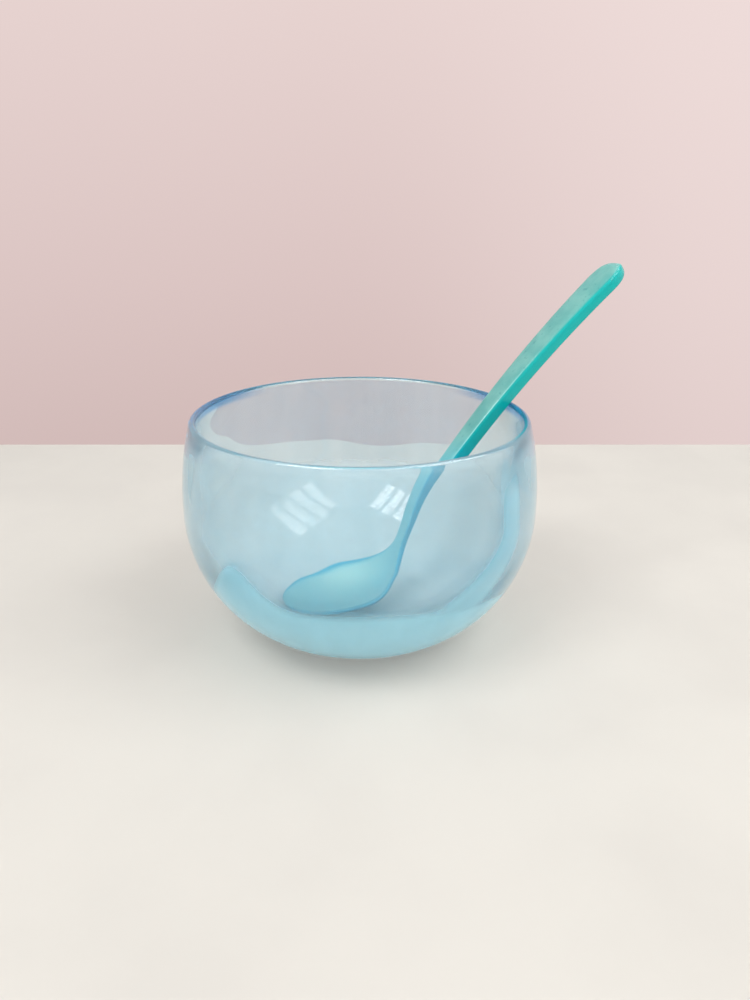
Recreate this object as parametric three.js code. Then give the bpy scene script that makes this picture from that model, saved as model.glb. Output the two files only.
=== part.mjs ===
// A blown-glass tapas bowl with a cast-resin serving spoon standing in it.
// Millimetres, +Z up. The origin is the centre of the base, on the table.
// The spoon leans towards +X: its bowl lies on the glass floor and its handle on the lip.

import * as THREE from 'three';

// Bowl sizes
const BELLY_RADIUS = 60;
const BELLY_HEIGHT = 44.4;
const BOWL_HEIGHT = 76;
const RIM_RADIUS = 56.1;
const BASE_RADIUS = 22.7;
const FLOOR_RADIUS = 22;
const FLOOR_THICKNESS = 8;
const BELLY_WALL = 4.6;
const LIP_THICKNESS = 2.4;

// Exponents of the bowl's curves: 1 makes the lower wall an ellipse, 2 makes the shoulder a parabola.
const LOWER_WALL_POWER = 1.065;
const SHOULDER_POWER = 2.25;

// Spoon sizes, along its own length from the tip of its bowl to the end of its handle
const DISH_LENGTH = 30;
const DISH_WIDTH = 34.4;
const DISH_DEPTH = 4.5;
const DISH_WIDEST_AT = 25;
const SHELL_THICKNESS = 2;
const HEEL_LENGTH = 21;
const NECK_LENGTH = 28.2;
const NECK_WIDTH = 4.8;
const NECK_THICKNESS = 2.4;
const HANDLE_LENGTH = 97;
const HANDLE_WIDTH = 12.4;
const HANDLE_THICKNESS = 5.6;
const HANDLE_END_ROUND = 10;

// Angles of the spoon's side view above its dish's rim, in degrees: after the heel, after the neck, at the end
const HEEL_ANGLE = 54.5;
const NECK_ANGLE = 40.5;
const HANDLE_END_ANGLE = 28;

// Where the spoon stands: its tip's reach past the bowl's axis, its sideways offset and its clearance to the glass
const TIP_REACH = 32;
const SPOON_OFFSET = -7.5;
const SEAT_CLEARANCE = 0.3;

// Fineness of the meshes
const BOWL_SEGMENTS = 72;
const WALL_STEPS = 14;
const SHOULDER_STEPS = 6;
const LIP_STEPS = 8;
const SECTION_POINTS = 24;
const SECTION_SQUARENESS = 0.45;
const TIP_STEPS = 12;
const HEEL_STEPS = 14;
const HANDLE_STEPS = 16;
const END_STEPS = 8;

// Steps of the seat's search
const SEAT_SPACING = 0.5;
const SEARCH_ROUNDS = 30;
const LEAN_SEARCH = [-30, 70];

const radians = THREE.MathUtils.degToRad;

// Bowl: the lip is a round bead, and the glass leans in where it meets it.
const lipRound = LIP_THICKNESS / 2;
const lipCentre = new THREE.Vector2(RIM_RADIUS - lipRound, BOWL_HEIGHT - lipRound);
const lipLean = Math.atan((SHOULDER_POWER * (BELLY_RADIUS - RIM_RADIUS)) / (BOWL_HEIGHT - BELLY_HEIGHT));

function lipPoint(angle) {
  return new THREE.Vector2(lipRound * Math.cos(angle), lipRound * Math.sin(angle)).add(lipCentre);
}

// One face of the wall, from the edge of its flat foot up to the lip.
function wallCurve(footRadius, footHeight, bellyRadius, top) {
  const points = [];
  for (let step = 0; step <= WALL_STEPS; step++) {
    const turn = ((step / WALL_STEPS) * Math.PI) / 2;
    const out = Math.sin(turn) ** LOWER_WALL_POWER;
    const up = 1 - Math.max(Math.cos(turn), 0) ** LOWER_WALL_POWER;
    points.push(new THREE.Vector2(
      footRadius + (bellyRadius - footRadius) * out,
      footHeight + (BELLY_HEIGHT - footHeight) * up,
    ));
  }
  for (let step = 1; step <= SHOULDER_STEPS; step++) {
    const rise = step / SHOULDER_STEPS;
    points.push(new THREE.Vector2(
      bellyRadius - (bellyRadius - top.x) * rise ** SHOULDER_POWER,
      BELLY_HEIGHT + (top.y - BELLY_HEIGHT) * rise,
    ));
  }
  return points;
}

const outerWall = wallCurve(BASE_RADIUS, 0, BELLY_RADIUS, lipPoint(lipLean));
const innerWall = wallCurve(FLOOR_RADIUS, FLOOR_THICKNESS, BELLY_RADIUS - BELLY_WALL, lipPoint(Math.PI + lipLean));

function bowlGeometry() {
  const profile = [new THREE.Vector2(0, 0), ...outerWall];
  for (let step = 1; step < LIP_STEPS; step++) {
    profile.push(lipPoint(lipLean + (Math.PI * step) / LIP_STEPS));
  }
  profile.push(...[...innerWall].reverse(), new THREE.Vector2(0, FLOOR_THICKNESS));
  const geometry = new THREE.LatheGeometry(profile, BOWL_SEGMENTS);
  geometry.rotateX(Math.PI / 2);
  return geometry;
}

// Spoon: its side view is a chain of arcs, each with a length and the angle that it ends at.
const heelStart = DISH_LENGTH;
const neckStart = heelStart + HEEL_LENGTH;
const handleStart = neckStart + NECK_LENGTH;
const spoonLength = handleStart + HANDLE_LENGTH;
const sideArcs = [
  { from: 0, to: heelStart, startAngle: 0, endAngle: 0 },
  { from: heelStart, to: neckStart, startAngle: 0, endAngle: radians(HEEL_ANGLE) },
  { from: neckStart, to: handleStart, startAngle: radians(HEEL_ANGLE), endAngle: radians(NECK_ANGLE) },
  { from: handleStart, to: spoonLength, startAngle: radians(NECK_ANGLE), endAngle: radians(HANDLE_END_ANGLE) },
];

// The end of one arc, or the point at a length along it: straight ahead, or round a circle.
function arcPoint(arc, start, along) {
  const bend = (arc.endAngle - arc.startAngle) / (arc.to - arc.from);
  const angle = arc.startAngle + bend * (along - arc.from);
  const straight = along - arc.from;
  const ahead = bend === 0
    ? new THREE.Vector2(straight * Math.cos(angle), straight * Math.sin(angle))
    : new THREE.Vector2(Math.sin(angle) - Math.sin(arc.startAngle), Math.cos(arc.startAngle) - Math.cos(angle))
      .divideScalar(bend);
  return { point: ahead.add(start), angle };
}

function spinePoint(along) {
  let start = new THREE.Vector2(0, 0);
  for (const arc of sideArcs) {
    if (along <= arc.to || arc.to === spoonLength) {
      return arcPoint(arc, start, along);
    }
    start = arcPoint(arc, start, arc.to).point;
  }
}

// 1 at the start of a stretch and 0 at its end, level at both.
function easeOut(along, from, to) {
  const share = THREE.MathUtils.clamp((along - from) / (to - from), 0, 1);
  return (1 + Math.cos(Math.PI * share)) / 2;
}

// A quarter round that grows from 0 to 1 over a length.
function quarterRound(distance, length) {
  const left = 1 - THREE.MathUtils.clamp(distance / length, 0, 1);
  return Math.sqrt(1 - left * left);
}

function halfWidth(along) {
  const dish = DISH_WIDTH / 2;
  const neck = NECK_WIDTH / 2;
  if (along < DISH_WIDEST_AT) {
    return dish * quarterRound(along, DISH_WIDEST_AT);
  }
  if (along < neckStart) {
    return neck + (dish - neck) * easeOut(along, DISH_WIDEST_AT, neckStart);
  }
  const share = (along - neckStart) / (spoonLength - neckStart);
  const handle = THREE.MathUtils.lerp(neck, HANDLE_WIDTH / 2, share);
  return handle * quarterRound(spoonLength - along, HANDLE_END_ROUND);
}

function thickness(along) {
  const toNeck = 1 - easeOut(along, DISH_WIDEST_AT, neckStart);
  const toHandle = 1 - easeOut(along, neckStart, handleStart);
  const body = SHELL_THICKNESS
    + (NECK_THICKNESS - SHELL_THICKNESS) * toNeck
    + (HANDLE_THICKNESS - NECK_THICKNESS) * toHandle;
  const tip = quarterRound(along, SHELL_THICKNESS / 2);
  const end = quarterRound(spoonLength - along, HANDLE_END_ROUND / 2);
  return body * tip * end;
}

function dishDepth(along) {
  if (along < DISH_WIDEST_AT) {
    return DISH_DEPTH * (1 - (1 - along / DISH_WIDEST_AT) ** 2);
  }
  return DISH_DEPTH * easeOut(along, DISH_WIDEST_AT, neckStart);
}

// A cosine or sine drawn towards the corners of a rounded rectangle.
function squared(value) {
  return Math.sign(value) * Math.abs(value) ** SECTION_SQUARENESS;
}

// A point of the spoon's skin: along its length and round its section, in the spoon's own frame.
function skinPoint(along, turn) {
  const { point, angle } = spinePoint(along);
  const side = squared(Math.cos(turn));
  const lift = (thickness(along) / 2) * squared(Math.sin(turn)) - dishDepth(along) * (1 - side * side);
  return new THREE.Vector3(
    point.x - lift * Math.sin(angle),
    halfWidth(along) * side,
    point.y + lift * Math.cos(angle),
  );
}

function skinRing(along) {
  return Array.from({ length: SECTION_POINTS }, (_, i) => skinPoint(along, (2 * Math.PI * i) / SECTION_POINTS));
}

// Lengths along the spoon at which its section is drawn, closer together where it rounds off.
function stations() {
  const list = [];
  for (let step = 1; step <= TIP_STEPS; step++) {
    list.push(DISH_WIDEST_AT * (1 - Math.cos(((step / TIP_STEPS) * Math.PI) / 2)));
  }
  for (let step = 1; step <= HEEL_STEPS; step++) {
    list.push(THREE.MathUtils.lerp(DISH_WIDEST_AT, neckStart, step / HEEL_STEPS));
  }
  const endStart = spoonLength - HANDLE_END_ROUND;
  for (let step = 1; step <= HANDLE_STEPS; step++) {
    list.push(THREE.MathUtils.lerp(neckStart, endStart, step / HANDLE_STEPS));
  }
  for (let step = 1; step < END_STEPS; step++) {
    list.push(endStart + HANDLE_END_ROUND * Math.sin(((step / END_STEPS) * Math.PI) / 2));
  }
  return list;
}

// A closed skin over rings of points, with a point at each end.
function skinOver(first, rings, last) {
  const count = SECTION_POINTS;
  const points = [first, ...rings.flat(), last];
  const faces = [];
  for (let i = 0; i < count; i++) {
    const next = (i + 1) % count;
    faces.push(0, 1 + next, 1 + i);
    for (let ring = 0; ring < rings.length - 1; ring++) {
      const near = 1 + ring * count;
      const far = near + count;
      faces.push(near + i, near + next, far + next);
      faces.push(near + i, far + next, far + i);
    }
    const end = 1 + (rings.length - 1) * count;
    faces.push(end + i, end + next, points.length - 1);
  }
  const geometry = new THREE.BufferGeometry().setFromPoints(points);
  geometry.setIndex(faces);
  geometry.computeVertexNormals();
  return geometry;
}

function spoonGeometry() {
  return skinOver(skinPoint(0, 0), stations().map(skinRing), skinPoint(spoonLength, 0));
}

// The spoon's place for a lean of its dish's rim and a height of its tip.
function spoonPlace(lean, height) {
  const place = new THREE.Object3D();
  place.position.set(-TIP_REACH, SPOON_OFFSET, height);
  place.rotation.y = -lean;
  place.updateMatrix();
  return place;
}

function skinSamples(from, to) {
  const samples = [];
  for (let along = from; along < to; along += SEAT_SPACING) {
    samples.push(...skinRing(along));
  }
  return samples;
}

// A point's distance from the bowl's axis and its height, for a place of the spoon.
function acrossAndUp(sample, place) {
  const point = sample.clone().applyMatrix4(place.matrix);
  return new THREE.Vector2(Math.hypot(point.x, point.y), point.z);
}

// The height of the glass under a point at a distance from the axis.
function floorHeight(across) {
  if (across <= FLOOR_RADIUS) {
    return FLOOR_THICKNESS;
  }
  const upper = innerWall.findIndex((point) => point.x >= across);
  if (upper < 1) {
    return BELLY_HEIGHT;
  }
  const [a, b] = [innerWall[upper - 1], innerWall[upper]];
  return THREE.MathUtils.mapLinear(across, a.x, b.x, a.y, b.y);
}

const dishSamples = skinSamples(0, neckStart);
const handleSamples = skinSamples(handleStart, spoonLength);

// The tip's height at which the spoon's bowl clears the glass floor.
function seatedHeight(lean) {
  const place = spoonPlace(lean, 0);
  const rise = (sample) => {
    const point = acrossAndUp(sample, place);
    return floorHeight(point.x) - point.y;
  };
  return Math.max(...dishSamples.map(rise)) + SEAT_CLEARANCE;
}

// The handle's gap to the lip once the spoon's bowl is seated.
function lipGap(lean) {
  const place = spoonPlace(lean, seatedHeight(lean));
  const gap = (sample) => acrossAndUp(sample, place).distanceTo(lipCentre) - lipRound;
  const under = handleSamples.some((sample) => {
    const point = acrossAndUp(sample, place);
    return point.x > lipCentre.x && point.y < lipCentre.y;
  });
  return under ? -1 : Math.min(...handleSamples.map(gap));
}

// Leans the spoon back until its handle rests on the lip.
function seatedPlace() {
  let [low, high] = LEAN_SEARCH.map(radians);
  for (let round = 0; round < SEARCH_ROUNDS; round++) {
    const middle = (low + high) / 2;
    if (lipGap(middle) > SEAT_CLEARANCE) {
      high = middle;
    } else {
      low = middle;
    }
  }
  return spoonPlace(high, seatedHeight(high));
}

const glass = new THREE.MeshStandardMaterial({
  color: 0xb4d6e4,
  roughness: 0.06,
  metalness: 0,
  transparent: true,
  opacity: 0.5,
});
const resin = new THREE.MeshStandardMaterial({ color: 0x2fb4ae, roughness: 0.35, metalness: 0 });

const bowl = new THREE.Mesh(bowlGeometry(), glass);
bowl.name = 'glass_bowl';

const spoon = new THREE.Mesh(spoonGeometry(), resin);
spoon.name = 'serving_spoon';
const seat = seatedPlace();
spoon.position.copy(seat.position);
spoon.rotation.copy(seat.rotation);

const part = new THREE.Group();
part.add(bowl, spoon);

export default part;
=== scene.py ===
"""Dresses a blown-glass tapas bowl and its cast-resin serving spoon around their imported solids.

Everything is in metres, in the frame of the solids: +Z up, the origin at the centre of the bowl's base,
the spoon's handle leaning towards +X.
"""

import logging
import math
from collections.abc import Callable, Mapping, Sequence
from dataclasses import asdict, dataclass
from enum import Enum
from typing import Any

import bpy
from mathutils import Matrix, Vector


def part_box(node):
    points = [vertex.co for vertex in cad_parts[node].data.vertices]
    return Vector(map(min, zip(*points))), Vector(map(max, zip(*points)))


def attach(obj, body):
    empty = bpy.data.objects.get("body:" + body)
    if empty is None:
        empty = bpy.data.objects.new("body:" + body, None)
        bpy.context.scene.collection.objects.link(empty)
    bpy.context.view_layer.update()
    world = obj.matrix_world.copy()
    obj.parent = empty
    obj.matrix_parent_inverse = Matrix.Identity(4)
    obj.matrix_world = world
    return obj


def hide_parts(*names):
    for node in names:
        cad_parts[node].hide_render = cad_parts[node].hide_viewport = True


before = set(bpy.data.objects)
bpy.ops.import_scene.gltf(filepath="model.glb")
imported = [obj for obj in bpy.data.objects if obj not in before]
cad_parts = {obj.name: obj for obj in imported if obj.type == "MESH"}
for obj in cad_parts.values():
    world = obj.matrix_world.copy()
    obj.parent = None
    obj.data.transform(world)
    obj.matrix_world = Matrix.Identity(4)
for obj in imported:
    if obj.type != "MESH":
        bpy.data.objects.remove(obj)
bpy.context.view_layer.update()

MM = 0.001
QUARTER_TURN = math.pi / 2.0
FULL_TURN = 2.0 * math.pi
LIGHT_BOUNCES = 32
HAZE_BOUNCES = 16
LAMP_TARGET = Vector((0.0, 0.0, 40.0 * MM))
LOG = logging.getLogger("tapas_bowl")

Colour = tuple[float, float, float]
Point = tuple[float, float, float]
ProfilePoint = tuple[float, float]
SkinPoint = tuple[Point, tuple[float, ...]]
Span = tuple[float, float]


def opaque(colour: Colour) -> tuple[float, float, float, float]:
    """A colour with full alpha, as colour sockets take it."""
    return (*colour, 1.0)


def smooth_step(low: float, high: float, value: float) -> float:
    """Rises smoothly from 0 at low to 1 at high.

    Args:
        low: Where the rise starts.
        high: Where it ends.
        value: Where it is read.

    Returns:
        The height of the rise, from 0 to 1.
    """
    share = min(max((value - low) / (high - low), 0.0), 1.0)
    return share * share * (3.0 - 2.0 * share)


def ease(along: float, start: float, end: float) -> float:
    """1 at the start of a stretch and 0 at its end, level at both."""
    share = min(max((along - start) / (end - start), 0.0), 1.0)
    return (1.0 + math.cos(math.pi * share)) / 2.0


def quarter_round(distance: float, length: float) -> float:
    """A quarter round that grows from 0 to 1 over a length."""
    left = 1.0 - min(max(distance / length, 0.0), 1.0)
    return math.sqrt(1.0 - left * left)


def bisect(low: float, high: float, is_high: Callable[[float], bool], rounds: int = 48) -> float:
    """Finds where a test turns from false to true.

    Args:
        low: A value at which the test is false.
        high: A value at which it is true.
        is_high: The test.
        rounds: How often the stretch is halved.

    Returns:
        The value at the turn.
    """
    for _ in range(rounds):
        middle = (low + high) / 2.0
        if is_high(middle):
            high = middle
        else:
            low = middle
    return high


def maths(operation: str, reflected: bool = False) -> Callable[..., "Wire"]:
    """Makes a method of Wire that adds one Math node.

    Args:
        operation: The node's operation.
        reflected: Whether the wire comes after the other value.

    Returns:
        The method.
    """
    def method(self: "Wire", *others: Any) -> "Wire":
        """Adds the node, with the wire and the other values on its sockets."""
        values = (*others, self) if reflected else (self, *others)
        return self.graph.add("ShaderNodeMath", {"operation": operation}, dict(enumerate(values)))

    return method


class Wire:
    """An output socket that takes part in Python arithmetic: each operation adds a Math node."""

    __add__ = maths("ADD")
    __radd__ = maths("ADD", reflected=True)
    __sub__ = maths("SUBTRACT")
    __rsub__ = maths("SUBTRACT", reflected=True)
    __mul__ = maths("MULTIPLY")
    __rmul__ = maths("MULTIPLY", reflected=True)
    __truediv__ = maths("DIVIDE")
    __rtruediv__ = maths("DIVIDE", reflected=True)
    __mod__ = maths("FLOORED_MODULO")
    __rmod__ = maths("FLOORED_MODULO", reflected=True)
    floor = maths("FLOOR")
    cosine = maths("COSINE")
    sine = maths("SINE")
    exponential = maths("EXPONENT")
    at_least = maths("MAXIMUM")

    def __init__(self, graph: "Graph", socket: bpy.types.NodeSocket) -> None:
        """Keeps the tree and the socket."""
        self.graph = graph
        self.socket = socket

    def rise(self, low: Any, high: Any) -> "Wire":
        """A smooth rise from 0 at low to 1 at high."""
        inputs = {"Value": self, "From Min": low, "From Max": high}
        return self.graph.add("ShaderNodeMapRange", {"interpolation_type": "SMOOTHSTEP"}, inputs)

    def other(self, name: str) -> "Wire":
        """Another output of the same node."""
        return Wire(self.graph, self.graph.find(self.socket.node.outputs, name))


class Graph:
    """Builds the nodes of one tree."""

    def __init__(self, tree: bpy.types.NodeTree) -> None:
        """Keeps the tree."""
        self.tree = tree

    @staticmethod
    def find(sockets: Sequence[bpy.types.NodeSocket], key: int | str) -> bpy.types.NodeSocket:
        """Finds a socket.

        Args:
            sockets: A node's inputs or outputs.
            key: Its place, its identifier or its name.

        Returns:
            The socket.
        """
        if isinstance(key, int):
            return sockets[key]
        return next((s for s in sockets if s.identifier == key), None) or sockets[key]

    def add(self, kind: str, settings: Mapping[str, Any] | None = None,
            inputs: Mapping[int | str, Any] | None = None, output: int | str = 0) -> Wire:
        """Adds a node.

        Args:
            kind: The node's type.
            settings: Its own settings, set first. "stops" are a colour ramp's positions and colours.
            inputs: The values or wires of its input sockets.
            output: Which of its outputs is wanted.

        Returns:
            That output.
        """
        node = self.tree.nodes.new(kind)
        for name, value in (settings or {}).items():
            if name == "stops":
                self._set_stops(node.color_ramp, value)
            else:
                setattr(node, name, value)
        for key, value in (inputs or {}).items():
            socket = self.find(node.inputs, key)
            if isinstance(value, Wire):
                self.tree.links.new(value.socket, socket)
            else:
                socket.default_value = value
        return Wire(self, self.find(node.outputs, output) if len(node.outputs) else None)

    @staticmethod
    def _set_stops(ramp: bpy.types.ColorRamp, stops: Sequence[tuple[float, Colour]]) -> None:
        """Gives a colour ramp its stops.

        Args:
            ramp: The ramp, which has two stops to start with.
            stops: The positions and the colours.
        """
        while len(ramp.elements) < len(stops):
            ramp.elements.new(1.0)
        for element, (position, colour) in zip(ramp.elements, stops):
            element.position = position
            element.color = opaque(colour)

    def mix(self, factor: Any, first: Any, second: Any) -> Wire:
        """Mixes two colours.

        Args:
            factor: 0 for the first colour, 1 for the second.
            first: A colour or a wire.
            second: A colour or a wire.

        Returns:
            The mixed colour.
        """
        inputs = {"Factor_Float": factor, "A_Color": first, "B_Color": second}
        for key in ("A_Color", "B_Color"):
            if not isinstance(inputs[key], Wire):
                inputs[key] = opaque(inputs[key])
        return self.add("ShaderNodeMix", {"data_type": "RGBA"}, inputs, "Result_Color")

    def masks(self, *names: str) -> list[Wire]:
        """The values that a mesh carries under these names."""
        kind = "ShaderNodeAttribute"
        return [self.add(kind, {"attribute_name": name}, output="Fac") for name in names]

    def stretched(self, vector: Wire, scale: Point) -> Wire:
        """A vector stretched along its axes."""
        return self.add("ShaderNodeMapping", {}, {"Vector": vector, "Scale": scale})


def new_material(name: str) -> tuple[bpy.types.Material, Graph]:
    """Starts a material with an empty tree.

    Args:
        name: The material's name.

    Returns:
        The material and the builder of its tree.
    """
    material = bpy.data.materials.new(name)
    material.use_nodes = True
    material.node_tree.nodes.clear()
    return material, Graph(material.node_tree)


@dataclass(frozen=True)
class Pattern:
    """A noise in a finish: its patches per metre, its finer layers, its warp, and where it shows."""

    scale: float
    detail: float
    warp: float = 0.0
    shows: Span = (0.0, 1.0)

    def noise(self, graph: Graph, place: Wire) -> Wire:
        """The plain noise.

        Args:
            graph: The finish's tree.
            place: Where the noise is read.

        Returns:
            Its value, about 0.5.
        """
        inputs = {"Vector": place, "Scale": self.scale, "Detail": self.detail, "Distortion": self.warp}
        return graph.add("ShaderNodeTexNoise", {"noise_dimensions": "3D"}, inputs, "Fac")

    def mask(self, noise: Wire) -> Wire:
        """How far the noise shows, from 0 to 1."""
        return noise.rise(*self.shows)


@dataclass(frozen=True)
class BlownGlass:
    """Pale blue blown glass: clear with a milky bloom and films that carry painted light, tinted and
    hazy inside, and lightly corded.
    """

    tint: Colour = (0.97, 0.99, 1.0)
    # A painted deep blue at the two ends of the lip, for light's long paths through the glass.
    lip_tint: Colour = (0.06, 0.36, 0.88)
    depth_tint: Colour = (0.0, 0.75, 1.0)
    depth_tint_per_metre: float = 18.0
    haze: Colour = (0.15, 0.70, 1.0)
    haze_per_metre: float = 28.0
    # Milky bloom, partly painted light where the marks put it; its deeper blue higher up is painted for
    # thick glass.
    bloom: Colour = (0.44, 0.86, 1.0)
    bloom_deep: Colour = (0.18, 0.52, 0.67)
    bloom_deepens: Span = (22.0 * MM, 46.0 * MM)
    bloom_share: float = 0.05
    bloom_streaks: float = 0.03
    milk_share: float = 0.6
    # The pale film: a painted highlight on the lip, painted light at the sides, and a lining that is
    # partly painted light.
    pale: Colour = (0.72, 0.90, 0.95)
    pale_share: float = 0.7
    refraction: float = 1.5
    fire_polish: float = 0.4
    polish: float = 0.015
    smudge: float = 0.05
    smudges: Pattern = Pattern(scale=38.0, detail=4.0, warp=0.3, shows=(0.5, 0.72))
    cords: Pattern = Pattern(scale=90.0, detail=3.0, warp=0.6, shows=(0.35, 0.65))
    cord_stretch: float = 0.18
    cord_depth: float = 0.008 * MM
    lip_mask: str = "lip_tint"
    milk_mask: str = "milk"
    pale_mask: str = "pale"

    def material(self) -> bpy.types.Material:
        """Makes the material.

        Returns:
            The material, with clear glass and bloom on its surface, and tint and haze inside.
        """
        material, graph = new_material("blown_glass")
        place = graph.add("ShaderNodeTexCoord", output="Object")
        lip, milk, pale = graph.masks(self.lip_mask, self.milk_mask, self.pale_mask)
        cords = self.cords.noise(graph, graph.stretched(place, (1.0, 1.0, self.cord_stretch)))
        smudges = self.smudges.mask(self.smudges.noise(graph, place))
        skin = {
            "Roughness": self.polish + self.smudge * smudges,
            "IOR": self.refraction,
            "Normal": graph.add("ShaderNodeBump", {}, {
                "Height": cords, "Distance": self.cord_depth, "Strength": 1.0,
            }),
        }
        # The clear glass carries the painted deep blue at the ends of the lip.
        clear = graph.add("ShaderNodeBsdfPrincipled", {}, {
            **skin,
            "Base Color": graph.mix(lip, self.tint, self.lip_tint),
            "Transmission Weight": 1.0,
            "Coat Weight": self.fire_polish,
            "Coat Roughness": self.polish,
        })
        height = graph.add("ShaderNodeSeparateXYZ", {}, {"Vector": place}, "Z")
        # Paints the milk a deeper blue higher up the wall.
        milky = graph.mix(height.rise(*self.bloom_deepens), self.bloom, self.bloom_deep)
        film = self.bloom_share + self.bloom_streaks * self.cords.mask(cords)
        # The pale film paints light: the lip's highlight, the sides and part of the lining.
        pale_film = self.pale_share * pale
        share = film + self.milk_share * milk + pale_film
        bloom = graph.add("ShaderNodeBsdfPrincipled", {}, {
            **skin, "Base Color": graph.mix(pale_film / share, milky, self.pale),
        })
        surface = graph.add("ShaderNodeMixShader", {}, {0: share, 1: clear, 2: bloom})
        tinted = graph.add("ShaderNodeVolumeAbsorption", {}, {
            "Color": opaque(self.depth_tint), "Density": self.depth_tint_per_metre,
        })
        hazy = graph.add("ShaderNodeVolumeScatter", {}, {
            "Color": opaque(self.haze), "Density": self.haze_per_metre,
        })
        inside = graph.add("ShaderNodeAddShader", {}, {0: tinted, 1: hazy})
        graph.add("ShaderNodeOutputMaterial", {}, {"Surface": surface, "Volume": inside})
        return material


@dataclass(frozen=True)
class CastResin:
    """Turquoise cast resin: satin mottled faces with specks and a painted sheen, deeper polished sides,
    and a thin end painted bluer as seen through glass.
    """

    # The faces' paler colour is partly a painted sheen of the bright room; the sides keep the resin's
    # deeper colour.
    face: Colour = (0.185, 0.46, 0.42)
    face_deep: Colour = (0.12, 0.385, 0.36)
    edge: Colour = (0.0, 0.40, 0.38)
    # The thin end's colours are painted bluer, as it looks through the bowl's blue glass.
    thin_face: Colour = (0.17, 0.58, 0.68)
    # A painted light patch on the far side of the dish.
    thin_glow: Colour = (0.42, 0.80, 0.80)
    thin_edge: Colour = (0.0, 0.44, 0.66)
    # A painted highlight along the handle's ridges.
    ridge: Colour = (0.45, 0.82, 0.80)
    speck: Colour = (0.04, 0.25, 0.25)
    speck_share: float = 0.5
    face_roughness: float = 0.36
    edge_roughness: float = 0.10
    mottle_roughness: float = 0.1
    mottle: Pattern = Pattern(scale=130.0, detail=4.0, warp=0.4, shows=(0.3, 0.7))
    specks: Pattern = Pattern(scale=600.0, detail=1.0, shows=(0.64, 0.74))
    grain: Pattern = Pattern(scale=1500.0, detail=2.0)
    grain_depth: float = 0.02 * MM
    refraction: float = 1.5
    gloss: float = 0.3
    edge_polish: float = 0.12
    polish_roughness: float = 0.05
    translucence: float = 0.25
    light_path: float = 2.5 * MM
    light_path_shares: Colour = (0.4, 1.0, 1.0)
    edge_mask: str = "edge"
    thin_mask: str = "thin"
    glow_mask: str = "glow"
    ridge_mask: str = "ridge"

    def masks(self) -> tuple[str, str, str, str]:
        """The names of the masks, in the order in which the spoon gives their values."""
        return self.edge_mask, self.thin_mask, self.glow_mask, self.ridge_mask

    def material(self) -> bpy.types.Material:
        """Makes the material.

        Returns:
            The material, one translucent surface.
        """
        material, graph = new_material("cast_resin")
        place = graph.add("ShaderNodeTexCoord", output="Object")
        edge, thin, glow, ridge = graph.masks(*self.masks())
        mottle, specks, grain = (
            pattern.noise(graph, place) for pattern in (self.mottle, self.specks, self.grain)
        )
        face = graph.mix(self.mottle.mask(mottle), self.face, self.face_deep)
        # Paints the thin end as seen through the glass, with its painted light patch.
        face = graph.mix(thin, face, graph.mix(glow, self.thin_face, self.thin_glow))
        face = graph.mix(self.specks.mask(specks) * (1.0 - thin) * self.speck_share, face, self.speck)
        colour = graph.mix(edge, face, graph.mix(thin, self.edge, self.thin_edge))
        dullness = self.face_roughness + (self.edge_roughness - self.face_roughness) * edge
        bump = graph.add("ShaderNodeBump", {}, {
            "Height": grain * (1.0 - edge), "Distance": self.grain_depth, "Strength": 1.0,
        })
        # The base colour carries the painted ridge highlight.
        surface = graph.add("ShaderNodeBsdfPrincipled", {}, {
            "Base Color": graph.mix(ridge, colour, self.ridge),
            "Roughness": dullness + self.mottle_roughness * (mottle - 0.5),
            "IOR": self.refraction,
            "Specular IOR Level": self.gloss,
            "Subsurface Weight": self.translucence,
            "Subsurface Radius": self.light_path_shares,
            "Subsurface Scale": self.light_path,
            "Coat Weight": self.edge_polish * edge,
            "Coat Roughness": self.polish_roughness,
            "Normal": bump,
        })
        graph.add("ShaderNodeOutputMaterial", {}, {"Surface": surface})
        return material


@dataclass(frozen=True)
class PaleFloor:
    """A plain pale floor with a hardly visible unevenness."""

    light: Colour = (0.66, 0.63, 0.58)
    dark: Colour = (0.62, 0.59, 0.545)
    patches: Pattern = Pattern(scale=14.0, detail=5.0, warp=0.2, shows=(0.35, 0.65))
    backdrop: Colour = (0.76, 0.73, 0.68)
    backdrop_share: float = 0.3
    roughness: float = 0.75
    gloss: float = 0.2

    def material(self) -> bpy.types.Material:
        """Makes the material.

        Returns:
            The material, which shows some of the plain backdrop's colour to what sees it.
        """
        material, graph = new_material("pale_floor")
        place = graph.add("ShaderNodeTexCoord", output="Object")
        patches = self.patches.mask(self.patches.noise(graph, place))
        surface = graph.add("ShaderNodeBsdfPrincipled", {}, {
            "Base Color": graph.mix(patches, self.light, self.dark),
            "Roughness": self.roughness,
            "Specular IOR Level": self.gloss,
        })
        rays = graph.add("ShaderNodeLightPath", output="Is Camera Ray")
        seen = rays.at_least(rays.other("Is Glossy Ray")).at_least(rays.other("Is Transmission Ray"))
        backdrop = graph.add("ShaderNodeEmission", {}, {"Color": opaque(self.backdrop), "Strength": 1.0})
        shown = graph.add("ShaderNodeMixShader", {}, {
            0: self.backdrop_share * seen, 1: surface, 2: backdrop,
        })
        graph.add("ShaderNodeOutputMaterial", {}, {"Surface": shown})
        return material


def triangles(mesh: bpy.types.Mesh) -> Sequence[bpy.types.MeshLoopTriangle]:
    """A mesh's faces as triangles."""
    mesh.calc_loop_triangles()
    return mesh.loop_triangles


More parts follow.
